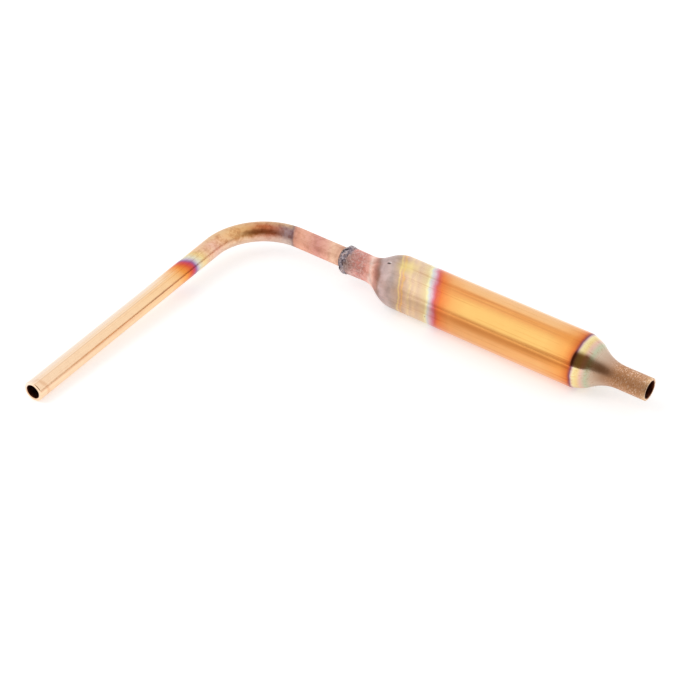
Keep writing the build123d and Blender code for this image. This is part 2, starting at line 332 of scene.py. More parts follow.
# Scale that crept and wrinkled on the inlet neck: pale ridges over salmon.
creep = add(tree, "ShaderNodeTexNoise", {"Vector": mm, "Scale": 0.7, "Detail": 2.0}).outputs["Color"]
wrinkle_map = add(tree, "ShaderNodeVectorMath", {
    0: creep, 1: (2.4, 2.4, 2.4), 2: mm}, operation="MULTIPLY_ADD")
cells = add(tree, "ShaderNodeTexVoronoi", {"Vector": wrinkle_map, "Scale": 0.8}, feature="DISTANCE_TO_EDGE")
ridge = add(tree, "ShaderNodeMapRange", {
    "Value": cells, "From Min": 0.02, "From Max": 0.16, "To Min": 1.0, "To Max": 0.0})
neck_in = add(tree, "ShaderNodeMapRange", {
    "Value": heat, "From Min": 5.5, "From Max": 8.0, "To Min": 1.0, "To Max": 0.0})
wrinkled = add(tree, "ShaderNodeMath", {0: ridge, 1: neck_in}, operation="MULTIPLY")
ridge_share = add(tree, "ShaderNodeMath", {0: wrinkled, 1: 0.55}, operation="MULTIPLY")
ridged = add(tree, "ShaderNodeMix", {
    "Factor": ridge_share, "A": dotted, "B": srgb("#f3d9d2")}, data_type="RGBA")

# A film of braze and burnt flux laps over the mouth, furthest along the top.
blot = add(tree, "ShaderNodeTexNoise", {"Vector": mm, "Scale": 0.75, "Detail": 4.0})
reach = add(tree, "ShaderNodeMath", {0: axes["Z"], 1: -0.42, 2: from_mouth}, operation="MULTIPLY_ADD")
edge = add(tree, "ShaderNodeMath", {0: blot, 1: -3.2, 2: reach}, operation="MULTIPLY_ADD")
film = add(tree, "ShaderNodeMapRange", {
    "Value": edge, "From Min": -1.7, "From Max": -0.9, "To Min": 0.85, "To Max": 0.0})
flux = add(tree, "ShaderNodeValToRGB", {"Fac": blot}, stops=(
    (0.35, "#5b4d55"), (0.5, "#8b7f8a"), (0.65, "#b4a8b0")))
lapped = add(tree, "ShaderNodeMix", {"Factor": film, "A": ridged, "B": flux}, data_type="RGBA")

# Grain of the rolled outlet neck, with near-white specks over it that are painted glints.
grain_map = add(tree, "ShaderNodeMapping", {"Vector": mm, "Scale": (3.4, 1.7, 1.7)})
grain = add(tree, "ShaderNodeTexNoise", {"Vector": grain_map, "Scale": 1.0, "Detail": 3.0, "Roughness": 0.7})
grain_tone = add(tree, "ShaderNodeMapRange", {
    "Value": grain, "From Min": 0.35, "From Max": 0.65, "To Min": 0.6, "To Max": 1.35})
on_neck = add(tree, "ShaderNodeMapRange", {
    "Value": from_mouth, "From Min": 87.0, "From Max": 92.0, "To Min": 0.0, "To Max": 0.75})
rolled_neck = add(tree, "ShaderNodeMix", {
    "Factor": on_neck, "A": lapped, "B": grain_tone}, data_type="RGBA", blend_type="MULTIPLY")
glint = add(tree, "ShaderNodeMapRange", {
    "Value": grain, "From Min": 0.56, "From Max": 0.63, "To Min": 0.0, "To Max": 1.0})
painted_highlight = add(tree, "ShaderNodeMath", {0: glint, 1: on_neck}, operation="MULTIPLY")
with_painted_glints = add(tree, "ShaderNodeMix", {
    "Factor": painted_highlight, "A": rolled_neck, "B": srgb("#fff0de")}, data_type="RGBA")

# Painted dark reflection down the front of the outlet cone and neck, darkest on its corner, and smoke on the
# inlet shoulder near the flame.
past_bands = add(tree, "ShaderNodeMapRange", {"Value": from_mouth, "From Min": 82.5, "From Max": 87.5})
at_corner = add(tree, "ShaderNodeMapRange", {
    "Value": from_mouth, "From Min": 80.0, "From Max": 83.5, "To Min": 1.0, "To Max": 0.0})
off_drum = add(tree, "ShaderNodeMapRange", {"Value": from_mouth, "From Min": 78.4, "From Max": 79.6})
on_corner = add(tree, "ShaderNodeMath", {0: at_corner, 1: off_drum}, operation="MULTIPLY")
front_painted_darker = faced_patch(tree, with_painted_glints, side, (0.0, -0.9, 0.436), (0.6, 0.99), 0.62, past_bands, "#93653f")
scorch_and_painted_shade = faced_patch(tree, front_painted_darker, side, (0.0, -0.82, 0.572), (0.955, 0.99), 0.6, on_corner, "#6e4a28")
smoke = add(tree, "ShaderNodeTexNoise", {"Vector": mm, "Scale": 0.32, "Detail": 4.0, "Roughness": 0.6})
smoke_tone = add(tree, "ShaderNodeMapRange", {
    "Value": smoke, "From Min": 0.35, "From Max": 0.62, "To Min": 0.74, "To Max": 1.06})
near_flame = add(tree, "ShaderNodeMapRange", {
    "Value": heat, "From Min": 17.0, "From Max": 27.0, "To Min": 0.9, "To Max": 0.1})
sooted_and_painted_light = add(tree, "ShaderNodeMix", {
    "Factor": near_flame, "A": scorch_and_painted_shade, "B": smoke_tone}, data_type="RGBA", blend_type="MULTIPLY")

# A straw patch high on the shoulder, and beside it a nick drawn only in colour: a painted highlight on its
# lip and painted shade in its pit.
for middle, stretch, near_by, far_off, share, shade in (
        (Vector((-77.8, -1.9, 7.7)), 0.8, 0.2, 3.6, 0.65, "#fbe694"),
        (Vector((-84.2, -2.6, 7.4)), 0.4, 0.3, 0.6, 0.9, "#fbf3ef"),
        (Vector((-84.0, -2.8, 7.0)), 0.3, 0.2, 0.45, 0.95, "#3f2a28")):
    drawn_out = Vector((stretch, 1.0, 1.0))
    stretched = add(tree, "ShaderNodeVectorMath", {0: mm, 1: drawn_out}, operation="MULTIPLY")
    apart = add(tree, "ShaderNodeVectorMath", {0: stretched, 1: middle * drawn_out}, operation="DISTANCE")
    within = add(tree, "ShaderNodeMapRange", {
        "Value": apart, "From Min": near_by, "From Max": far_off, "To Min": share, "To Max": 0.0},
        interpolation_type="SMOOTHSTEP")
    sooted_and_painted_light = add(tree, "ShaderNodeMix", {"Factor": within, "A": sooted_and_painted_light, "B": srgb(shade)}, data_type="RGBA")

# Scale and grain are matte, and the drawn body is bright. The roller left rings on both necks.
along = add(tree, "ShaderNodeMapRange", {"Value": from_mouth, "From Min": 0.0, "From Max": shell_length})
matte = add(tree, "ShaderNodeValToRGB", {"Fac": along}, span=(0.0, shell_length), stops=(
    (0.0, 0.42), (2.0, 0.6), (8.0, 0.5), (9.0, 0.35), (12.0, 0.45), (19.0, 0.38), (27.0, 0.26),
    (35.0, 0.17), (78.0, 0.15), (80.0, 0.1), (82.5, 0.15), (84.5, 0.25), (87.0, 0.36), (91.0, 0.42),
    (100.0, 0.36)))
rolled_map = add(tree, "ShaderNodeMapping", {"Vector": mm, "Scale": (1.9, 0.02, 0.02)})
rolled = add(tree, "ShaderNodeTexNoise", {"Vector": rolled_map, "Scale": 1.0, "Detail": 2.0})
rolled_by = add(tree, "ShaderNodeValToRGB", {"Fac": along}, span=(0.0, shell_length), stops=(
    (0.0, 0.12), (20.0, 0.15), (24.0, 0.0), (79.0, 0.0), (86.0, 0.08), (91.0, 0.6), (100.0, 0.6)))
ridge_bump = add(tree, "ShaderNodeBump", {"Strength": 0.8, "Distance": 0.14 * MM, "Height": wrinkled})
ring_bump = add(tree, "ShaderNodeBump", {
    "Strength": rolled_by, "Distance": 0.12 * MM, "Height": rolled, "Normal": ridge_bump})
grain_bump = add(tree, "ShaderNodeBump", {
    "Strength": on_neck, "Distance": 0.1 * MM, "Height": grain, "Normal": ring_bump})
line_bump = add(tree, "ShaderNodeBump", {
    "Strength": 0.2, "Distance": 0.02 * MM, "Height": drawn, "Normal": grain_bump})
join(tree, shader, {"Base Color": sooted_and_painted_light, "Metallic": 1.0, "Roughness": matte, "Normal": line_bump})

# Copper bore: dull, dark brown oxide that no light reaches far into.
oxidised_bore, tree, shader, mm = new_material("oxidised_copper_bore")
bloom = add(tree, "ShaderNodeTexNoise", {"Vector": mm, "Scale": 0.8, "Detail": 4.0})
shade = add(tree, "ShaderNodeValToRGB", {"Fac": bloom}, stops=(
    (0.3, "#4a1f13"), (0.6, "#6e3a26"), (0.8, "#915a3e")))
join(tree, shader, {"Base Color": shade, "Metallic": 1.0, "Roughness": 0.5})

# The corners of the wall, from the inlet mouth to the outlet mouth and back along the inside.
inlet_corner = (inlet_mouth + inlet_shoulder, body_radius)
waist = (inlet_corner[0] - (body_radius - waist_radius) / tan(radians(inlet_cone_angle)), waist_radius)
outlet_corner = (-outlet_shoulder, body_radius)
knuckle = (outlet_corner[0] + knuckle_length, body_radius - knuckle_length * tan(radians(knuckle_angle)))
neck = (knuckle[0] + (knuckle[1] - neck_radius) / tan(radians(outlet_cone_angle)), neck_radius)
socket_end = inner_corner(waist, 0, waist_radius - socket_radius, inlet_cone_angle, cone_wall)
inlet_inside = inner_corner(inlet_corner, inlet_cone_angle, cone_wall, 0, body_wall)
outlet_inside = inner_corner(outlet_corner, 0, body_wall, -knuckle_angle, body_wall)
knuckle_inside = inner_corner(knuckle, -knuckle_angle, body_wall, -outlet_cone_angle, cone_wall)
bore_end = inner_corner(neck, -outlet_cone_angle, cone_wall, 0, neck_radius - bore_radius)
shell_section = section((
    (inlet_mouth, mouth_radius, rim_round), (*waist, shoulder_round), (*inlet_corner, shoulder_round),
    (*outlet_corner, 2.0), (*knuckle, knuckle_round), (*neck, throat_round),
    (0.0, neck_radius, rim_round), (0.0, bore_radius, rim_round), (*bore_end, bore_round),
    (*knuckle_inside, 6.0), (*outlet_inside, 1.5), (*inlet_inside, inside_round),
    (*socket_end, inside_round), (inlet_mouth, socket_radius, rim_round)), arc_step=0.45, run_step=1.0)
shell = turned("copper_shell", shell_section, shell_facets, spun_copper)
finished(shell, oxidised_bore)
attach(shell, "root")
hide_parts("shell")

# ----------------------------------------------------------------------------------------
# Inlet tube: 6 mm copper tube, pushed into the inlet neck and bent a little past square.
# The flame ran along it too, and left its colours on the bend and the near part of the leg.
# ----------------------------------------------------------------------------------------
tube_radius = 3.0
tube_bore = 2.0
tube_insertion = 10.0
tube_reach = 18.0
bend_radius = 18.0
bend_angle = radians(93.0)
leg_length = 80.0
tube_lift = 0.15
tube_lean = radians(2.9892)
tint_length = 128.0
tube_facets = 72
tube_end = tube_reach + bend_radius * bend_angle + leg_length

# Drawn copper: scaled salmon near the braze, scorched brown through the bend, then a sharp row of
# oxide colours, and bright past them, with fine drawing lines along the whole tube.
drawn_copper, tree, shader, mm = new_material("drawn_copper_torch_tinted", "lathe")
axes = add(tree, "ShaderNodeSeparateXYZ", {"Vector": mm}).outputs
waver = add(tree, "ShaderNodeTexNoise", {"Vector": mm, "Scale": 0.35, "Detail": 3.0})
lean = add(tree, "ShaderNodeMath", {0: axes["Y"], 1: 0.48, 2: axes["X"]}, operation="MULTIPLY_ADD")
waver_each_way = add(tree, "ShaderNodeMath", {0: waver, 1: -0.5}, operation="ADD")
heat = add(tree, "ShaderNodeMath", {0: waver_each_way, 1: 1.6, 2: lean}, operation="MULTIPLY_ADD")
along = add(tree, "ShaderNodeMapRange", {"Value": heat, "From Min": 0.0, "From Max": tint_length})
# The ramp also paints a darker ring near the tip, painted shade where the cutter drew the end in, which the
# tube's shape leaves out.
tint = add(tree, "ShaderNodeValToRGB", {"Fac": along}, span=(0.0, tint_length), stops=(
    (0.0, "#b99d92"), (2.5, "#ecc0a8"), (5.0, "#fad6bd"), (8.0, "#efbaa8"), (11.0, "#e3a89c"),
    (14.0, "#efbaa6"), (17.0, "#f3bea6"), (19.4, "#dfa894"), (19.9, "#8d7176"), (23.0, "#ab8f90"),
    (25.5, "#b57a66"), (29.0, "#c97852"), (33.0, "#d48f60"), (36.0, "#e4b27a"), (41.0, "#f0c38c"),
    (46.0, "#f4c79c"), (50.0, "#f6c8b2"), (54.0, "#f3caa4"), (56.2, "#f4d898"), (58.4, "#e9e6cc"),
    (59.8, "#c3b4cc"), (60.6, "#a4669a"), (61.4, "#cf4f63"), (62.6, "#e0603c"), (65.0, "#f49c48"),
    (68.0, "#fac384"), (72.0, "#fdd3a0"), (90.0, "#fedab0"), (125.2, "#fddbb8"), (125.8, "#e9b890"),
    (126.3, "#fddbb8")))

# Scorch through the bend: mottled brown where it faced the flame, with a pale lower side and a tan upper side
# over it, painted edge light made ragged by the mottle.
mottle = add(tree, "ShaderNodeTexNoise", {"Vector": mm, "Scale": 0.55, "Detail": 5.0, "Roughness": 0.65})
mottled = add(tree, "ShaderNodeValToRGB", {"Fac": mottle}, stops=(
    (0.3, "#b07c62"), (0.45, "#e6cab4"), (0.55, "#ffffff"), (0.7, "#fff2dc")))
in_bend = add(tree, "ShaderNodeValToRGB", {"Fac": along}, span=(0.0, tint_length), stops=(
    (7.0, 0.35), (19.0, 0.4), (21.0, 0.65), (48.0, 0.6), (58.0, 0.2), (66.0, 0.08)))
scorch_and_painted_shade = add(tree, "ShaderNodeMix", {
    "Factor": in_bend, "A": tint, "B": mottled}, data_type="RGBA", blend_type="MULTIPLY")
below = add(tree, "ShaderNodeVectorMath", {0: mm, 1: (0.0, 0.22, -0.25)}, operation="DOT_PRODUCT")
lower_light_edge = add(tree, "ShaderNodeMath", {0: mottle, 1: 0.9, 2: below}, operation="MULTIPLY_ADD")
under = add(tree, "ShaderNodeMapRange", {
    "Value": lower_light_edge, "From Min": 0.75, "From Max": 1.3, "To Min": 0.0, "To Max": 0.65})
edge_light_part = add(tree, "ShaderNodeValToRGB", {"Fac": along}, span=(0.0, tint_length), stops=(
    (19.5, 0.0), (21.0, 1.0), (48.0, 1.0), (58.0, 0.0)))
lower_light_share = add(tree, "ShaderNodeMath", {0: under, 1: edge_light_part}, operation="MULTIPLY")
lower_side_painted_light = add(tree, "ShaderNodeMix", {
    "Factor": lower_light_share, "A": scorch_and_painted_shade, "B": srgb("#e8d2c2")}, data_type="RGBA")
above = add(tree, "ShaderNodeVectorMath", {0: mm, 1: (0.0, -0.24, 0.2)}, operation="DOT_PRODUCT")
upper_light_edge = add(tree, "ShaderNodeMath", {0: mottle, 1: 0.9, 2: above}, operation="MULTIPLY_ADD")
over = add(tree, "ShaderNodeMapRange", {
    "Value": upper_light_edge, "From Min": 0.7, "From Max": 1.2, "To Min": 0.0, "To Max": 0.75})
upper_light_share = add(tree, "ShaderNodeMath", {0: over, 1: edge_light_part}, operation="MULTIPLY")
with_painted_edge_light = add(tree, "ShaderNodeMix", {
    "Factor": upper_light_share, "A": lower_side_painted_light, "B": srgb("#e6c196")}, data_type="RGBA")

# Drawing lines, drawn wider than real so that they show.
drawn_map = add(tree, "ShaderNodeMapping", {"Vector": mm, "Scale": (0.01, 2.2, 2.2)})
drawn = add(tree, "ShaderNodeTexNoise", {"Vector": drawn_map, "Scale": 1.0, "Detail": 5.0, "Roughness": 0.65})
streak = add(tree, "ShaderNodeValToRGB", {"Fac": drawn}, stops=(
    (0.0, "#c08a62"), (0.34, "#e6bd9c"), (0.4, "#ffffff"), (0.62, "#ffffff"), (0.67, "#efcfb4"),
    (0.7, "#ffffff")))

# Past the colours the leg is painted paler along its outer side, a painted highlight, with one pink line
# beside it.
outer = add(tree, "ShaderNodeVectorMath", {0: mm, 1: (0.0, -0.2613, 0.207)}, operation="DOT_PRODUCT")
bare_part = add(tree, "ShaderNodeMapRange", {"Value": heat, "From Min": 64.0, "From Max": 76.0})
for low, high, share, shade in (
        (0.3, 0.95, 0.95, "#fbeadb"), (0.27, 0.34, 0.7, "#eec6a4"), (0.37, 0.44, 0.6, "#fbe6d0")):
    strip = add(tree, "ShaderNodeMapRange", {
        "Value": outer, "From Min": low, "From Max": high, "To Min": 0.0, "To Max": share},
        interpolation_type="SMOOTHSTEP")
    if high < 0.5:  # a line, so it ends on its outer side too
        past = add(tree, "ShaderNodeMapRange", {
            "Value": outer, "From Min": high, "From Max": high + 0.07, "To Min": 1.0, "To Max": 0.0},
            interpolation_type="SMOOTHSTEP")
        strip = add(tree, "ShaderNodeMath", {0: strip, 1: past}, operation="MULTIPLY")
    strip_share = add(tree, "ShaderNodeMath", {0: strip, 1: bare_part}, operation="MULTIPLY")
    with_painted_edge_light = add(tree, "ShaderNodeMix", {
        "Factor": strip_share, "A": with_painted_edge_light, "B": srgb(shade)}, data_type="RGBA")
coat = add(tree, "ShaderNodeMix", {
    "Factor": 0.45, "A": with_painted_edge_light, "B": streak}, data_type="RGBA", blend_type="MULTIPLY")

# Scale and scorch are matte and creased, and the bare leg is bright and smooth.
matte = add(tree, "ShaderNodeValToRGB", {"Fac": along}, span=(0.0, tint_length), stops=(
    (0.0, 0.55), (19.0, 0.55), (21.0, 0.42), (34.0, 0.36), (45.0, 0.32), (58.0, 0.24), (66.0, 0.18),
    (128.0, 0.18)))
creased_map = add(tree, "ShaderNodeMapping", {"Vector": mm, "Scale": (1.3, 0.25, 0.25)})
creased = add(tree, "ShaderNodeTexNoise", {"Vector": creased_map, "Scale": 1.0, "Detail": 3.0})
creased_by = add(tree, "ShaderNodeValToRGB", {"Fac": along}, span=(0.0, tint_length), stops=(
    (5.0, 0.2), (9.0, 0.6), (19.0, 0.6), (21.0, 0.25), (50.0, 0.2), (60.0, 0.0)))
crease_bump = add(tree, "ShaderNodeBump", {"Strength": creased_by, "Distance": 0.12 * MM, "Height": creased})
line_bump = add(tree, "ShaderNodeBump", {
    "Strength": 0.25, "Distance": 0.02 * MM, "Height": drawn, "Normal": crease_bump})
join(tree, shader, {"Base Color": coat, "Metallic": 1.0, "Roughness": matte, "Normal": line_bump})

# The tube is turned straight, then each point is carried round the bend and down the leg.
tube_section = section((
    (-tube_insertion, tube_radius, 0.3), (tube_end, tube_radius, 0.35), (tube_end, tube_bore, 0.15),
    (-tube_insertion, tube_bore, 0.12)), arc_step=0.1, run_step=1.0)
inlet_tube = turned("bent_inlet_tube", tube_section, tube_facets, drawn_copper)
finished(inlet_tube, oxidised_bore)
bend_side = Vector((0, -cos(tube_lean), -sin(tube_lean)))
bend_up = Vector((0, -sin(tube_lean), cos(tube_lean)))
outward = Vector((-1, 0, 0))
to_leg = tube_reach + bend_radius * bend_angle
tube_start = Vector((inlet_mouth, 0, 0)) + bend_up * tube_lift
for spot in inlet_tube.data.vertices:
    run, side, up = (value / MM for value in spot.co)
    bent = min(max(run - tube_reach, 0) / bend_radius, bend_angle)
    left = max(run - to_leg, 0)
    ahead = min(run, tube_reach) + bend_radius * sin(bent) + left * cos(bent)
    across = bend_radius * (1 - cos(bent)) + left * sin(bent)
    inward = -outward * sin(bent) + bend_side * cos(bent)
    spot.co = (tube_start + outward * ahead + bend_side * across + inward * side + bend_up * up) * MM
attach(inlet_tube, "root")
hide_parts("inlet_tube")

# ----------------------------------------------------------------------------------------
# Braze: a collar of silver braze that ran into the neck round the tube and froze at its
# mouth in lumps and runs, under a dark film of burnt flux.
# ----------------------------------------------------------------------------------------
braze_toe = 1.5
braze_lap = 1.5
braze_height = 0.3
braze_depth = 7.0
braze_film = 0.05
braze_facets = 120
crown_front = 0.2
crown_back = 0.5
lump_height = 0.38
lump_sway = 0.35
lump_place = Vector((3.1, 7.7, 1.9))
sway_place = Vector((9.2, 4.4, 0.3))
collar_start = 0.15
collar_rise = 0.6

# Silver braze under burnt flux: mottled from near black to pink, with near-white specks that are painted
# highlights, drawn coarser than real so that they show, and pitted.
braze_alloy, tree, shader, mm = new_material("silver_braze_burnt_flux")
crust = add(tree, "ShaderNodeTexNoise", {"Vector": mm, "Scale": 0.55, "Detail": 5.0, "Roughness": 0.6})
shade = add(tree, "ShaderNodeValToRGB", {"Fac": crust}, stops=(
    (0.4, "#372c32"), (0.47, "#6d626b"), (0.54, "#a0969e"), (0.6, "#c0b1af"), (0.68, "#d09f95")))
specks = add(tree, "ShaderNodeTexVoronoi", {"Vector": mm, "Scale": 1.5})
painted_highlight = add(tree, "ShaderNodeMapRange", {
    "Value": specks, "From Min": 0.12, "From Max": 0.26, "To Min": 0.85, "To Max": 0.0})
speckled = add(tree, "ShaderNodeMix", {"Factor": painted_highlight, "A": shade, "B": srgb("#f6f1ee")}, data_type="RGBA")
dull = add(tree, "ShaderNodeMapRange", {"Value": crust, "To Min": 0.25, "To Max": 0.45})
pit = add(tree, "ShaderNodeTexNoise", {"Vector": mm, "Scale": 1.6, "Detail": 4.0})
pit_bump = add(tree, "ShaderNodeBump", {"Strength": 0.7, "Distance": 0.25 * MM, "Height": pit})
join(tree, shader, {"Base Color": speckled, "Metallic": 1.0, "Roughness": dull, "Normal": pit_bump})

# The alloy's section, from the fillet's toe on the tube over its crown and lap, and down the socket.
crown = mouth_radius + braze_height
braze_end = inlet_mouth + braze_depth
braze_section = section((
    (inlet_mouth - braze_toe, tube_radius + braze_film, 0), (inlet_mouth - crown_front, crown, 0.9),
    (inlet_mouth + crown_back, crown, 0.6), (inlet_mouth + braze_lap, mouth_radius, 0),
    (inlet_mouth, mouth_radius + 0.01, 0.1), (inlet_mouth - 0.02, socket_radius, 0.1),
    (braze_end, socket_radius - 0.01, 0), (braze_end, tube_radius + 0.01, 0)), arc_step=0.08, run_step=0.25)
braze = turned("braze_collar", braze_section, braze_facets, braze_alloy)
for spot in braze.data.vertices:
    at = spot.co / MM
    away = Vector((0, at.y, at.z))
    share = max(0.0, min(1.0, (mouth_radius - away.length) / (mouth_radius - tube_radius)))
    proud = max(0.0, min(1.0, (away.length - tube_radius - collar_start) / collar_rise))
    if at.x >= inlet_mouth + braze_lap - 0.05:  # the lap's edge and the socket stay as they are
        proud = 0.0
    lump = noise.noise(at * 0.7 + lump_place) + 0.7 * noise.noise(at * 1.9) - 0.3
    sway = Vector((lump_sway * proud * noise.noise(at * 0.6 + sway_place), 0, 0))
    swell = away.normalized() * proud * lump_height * lump
    spot.co = (at + bend_up * tube_lift * share + sway + swell) * MM
finished(braze)
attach(braze, "root")
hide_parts("braze_fillet")

# ----------------------------------------------------------------------------------------
# Inlet screen: a disc of plain-woven stainless wire that keeps the beads in. It was punched
# from a roll of cloth and pressed against the inlet shoulder.
# ----------------------------------------------------------------------------------------
screen_low, screen_high = (Vector(corner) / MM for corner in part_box("inlet_screen"))
cloth_pitch = 0.8
cloth_wire = 0.14
cloth_wave = 0.15
cloth_margin = 0.4
cloth_cells = 19

# Drawn stainless wire: a cool grey with a soft shine, faintly marked.
stainless_wire, tree, shader, mm = new_material("drawn_stainless_wire")
mark = add(tree, "ShaderNodeTexNoise", {"Vector": mm, "Scale": 4.0, "Detail": 3.0})
shade = add(tree, "ShaderNodeValToRGB", {"Fac": mark}, stops=(
    (0.3, "#93918d"), (0.6, "#bab7b2"), (0.8, "#cfccc6")))
dull = add(tree, "ShaderNodeMapRange", {"Value": mark, "To Min": 0.22, "To Max": 0.42})
mark_bump = add(tree, "ShaderNodeBump", {"Strength": 0.2, "Distance": 0.02 * MM, "Height": mark})
join(tree, shader, {"Base Color": shade, "Metallic": 1.0, "Roughness": dull, "Normal": mark_bump})


def crossing(pitch, wire, wave):
    """One crossing of the cloth: a six-sided wire that arches over and one that dips under it."""
    spots, faces = [], []
    for over in (True, False):
        first = len(spots)
        for k in range(5):
            run = pitch * (k / 4 - 0.5)
            height = (wave if over else -wave) * cos(pi * run / pitch)
            for a in range(6):
                beside, up = wire * cos(a * pi / 3), height + wire * sin(a * pi / 3)
                spots.append(Vector((run, beside, up) if over else (beside, run, up)) * MM)
        for k in range(first, first + 24, 6):
            faces += [(k + a, k + (a + 1) % 6, k + 6 + (a + 1) % 6, k + 6 + a) for a in range(6)]
    mesh = bpy.data.meshes.new("crossing")
    mesh.from_pydata(spots, [], faces)
    return mesh


def woven_cloth_tree():
    """Nodes that lay a crossing at each point of a round grid, every other one turned by a quarter."""
    tree, given = new_tree("woven_cloth", {
        "Crossing": "Geometry", "Pitch": "Float", "Cells": "Int", "Disc radius": "Float", "Centre": "Vector",
        "Material": "Material"}, "Cloth")
    gaps = add(tree, "ShaderNodeMath", {0: given["Cells"], 1: -1.0}, operation="ADD")
    across = add(tree, "ShaderNodeMath", {0: gaps, 1: given["Pitch"]}, operation="MULTIPLY")
    grid = add(tree, "GeometryNodeMeshGrid", {
        "Size X": across, "Size Y": across, "Vertices X": given["Cells"], "Vertices Y": given["Cells"]})
    place = add(tree, "GeometryNodeInputPosition")
    apart = add(tree, "ShaderNodeVectorMath", {0: place}, operation="LENGTH")
    beyond = add(tree, "FunctionNodeCompare", {
        "A": apart, "B": given["Disc radius"]}, data_type="FLOAT", operation="GREATER_THAN")
    disc = add(tree, "GeometryNodeDeleteGeometry", {"Geometry": grid, "Selection": beyond})
    axes = add(tree, "ShaderNodeSeparateXYZ", {"Vector": place}).outputs
    total = add(tree, "ShaderNodeMath", {0: axes["X"], 1: axes["Y"]}, operation="ADD")
    steps = add(tree, "ShaderNodeMath", {0: total, 1: given["Pitch"]}, operation="DIVIDE")
    whole = add(tree, "ShaderNodeMath", {0: steps}, operation="ROUND")
    odd = add(tree, "ShaderNodeMath", {0: whole, 1: 2.0}, operation="FLOORED_MODULO")
    quarter = add(tree, "ShaderNodeMath", {0: odd, 1: pi / 2}, operation="MULTIPLY")
    facing = add(tree, "ShaderNodeCombineXYZ", {"Z": quarter})
    set_out = add(tree, "GeometryNodeInstanceOnPoints", {
        "Points": disc, "Instance": given["Crossing"], "Rotation": facing})
    stood = add(tree, "GeometryNodeTransform", {
        "Geometry": set_out, "Translation": given["Centre"], "Rotation": (0, pi / 2, 0)})
    real = add(tree, "GeometryNodeRealizeInstances", {"Geometry": stood})
    dressed = add(tree, "GeometryNodeSetMaterial", {"Geometry": real, "Material": given["Material"]})
    add(tree, "NodeGroupOutput", {"Cloth": dressed})
    return tree


screen_middle = (screen_low + screen_high) / 2
cell = crossing(cloth_pitch, cloth_wire, cloth_wave)
cell.materials.append(stainless_wire)
inlet_screen = grown("woven_inlet_screen", cell, woven_cloth_tree(), {
    "Pitch": cloth_pitch * MM, "Cells": cloth_cells, "Disc radius": (screen_high.y - cloth_margin) * MM,
    "Centre": screen_middle * MM, "Material": stainless_wire})

# The crossings are joined into wires, whose cut ends are closed and stay flat.
shape = bmesh.new()
shape.from_mesh(inlet_screen.data)
bmesh.ops.remove_doubles(shape, verts=shape.verts, dist=1e-6)
bmesh.ops.holes_fill(shape, edges=[edge for edge in shape.edges if edge.is_boundary], sides=6)
bmesh.ops.recalc_face_normals(shape, faces=shape.faces)
for face in shape.faces:
    face.smooth = len(face.verts) == 4
shape.to_mesh(inlet_screen.data)
shape.free()
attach(inlet_screen, "root")
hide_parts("inlet_screen")

# ----------------------------------------------------------------------------------------
# Bands and outlet strainer: strips of stainless rolled to a ring and pressed in against the
# screens, and a cone drawn from perforated stainless sheet, with its flange under a band.
# ----------------------------------------------------------------------------------------

# Rolled stainless: a grey sheen drawn out along the rolling, slightly straw from the brazing heat.
rolled_stainless, tree, shader, mm = new_material("rolled_stainless_sheet")
rolling_map = add(tree, "ShaderNodeMapping", {"Vector": mm, "Scale": (6.0, 0.6, 0.6)})
rolling = add(tree, "ShaderNodeTexNoise", {"Vector": rolling_map, "Scale": 1.0, "Detail": 4.0})
shade = add(tree, "ShaderNodeValToRGB", {"Fac": rolling}, stops=(
    (0.3, "#a39c92"), (0.55, "#c2bcb2"), (0.75, "#d3c9b8")))
dull = add(tree, "ShaderNodeMapRange", {"Value": rolling, "To Min": 0.25, "To Max": 0.45})
rolling_bump = add(tree, "ShaderNodeBump", {"Strength": 0.2, "Distance": 0.02 * MM, "Height": rolling})
join(tree, shader, {"Base Color": shade, "Metallic": 1.0, "Roughness": dull, "Normal": rolling_bump})
for name in ("inlet_screen_band", "outlet_strainer_band", "outlet_strainer"):
    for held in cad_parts[name].material_slots:
        held.material = rolled_stainless

# ----------------------------------------------------------------------------------------
# Bead bed: 1,160 beads of molecular sieve, up to 2 mm across, poured in and shaken down
# until they fill the body between the two screens.
# ----------------------------------------------------------------------------------------
bed_low, bed_high = (Vector(corner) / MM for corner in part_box("molecular_sieve"))
bead_size = 2.0
smallest_bead = 0.92
bead_seed = 7
bed_radius = bed_high.z
band_room = 1.25
band_bore = 5.6
layer_step = bead_size * sqrt(2 / 3)
layers = int((bed_high.x - bed_low.x - bead_size) / layer_step) + 1
beads_across = 9

# Zeolite bead: matte buff clay, slightly darker where dust has rubbed off, each a little different.
zeolite, tree, shader, mm = new_material("zeolite_bead")
each = add(tree, "ShaderNodeTexNoise", {"Vector": mm, "Scale": 0.45, "Detail": 2.0})
dust = add(tree, "ShaderNodeTexNoise", {"Vector": mm, "Scale": 5.0, "Detail": 4.0})
mixed = add(tree, "ShaderNodeMath", {0: dust, 1: 0.4, 2: each}, operation="MULTIPLY_ADD")
shade = add(tree, "ShaderNodeValToRGB", {"Fac": mixed}, stops=(
    (0.5, "#b7a283"), (0.7, "#d0bea1"), (0.9, "#e2d4bd")))
dust_bump = add(tree, "ShaderNodeBump", {"Strength": 0.4, "Distance": 0.05 * MM, "Height": dust})
join(tree, shader, {"Base Color": shade, "Roughness": 0.9, "Normal": dust_bump})


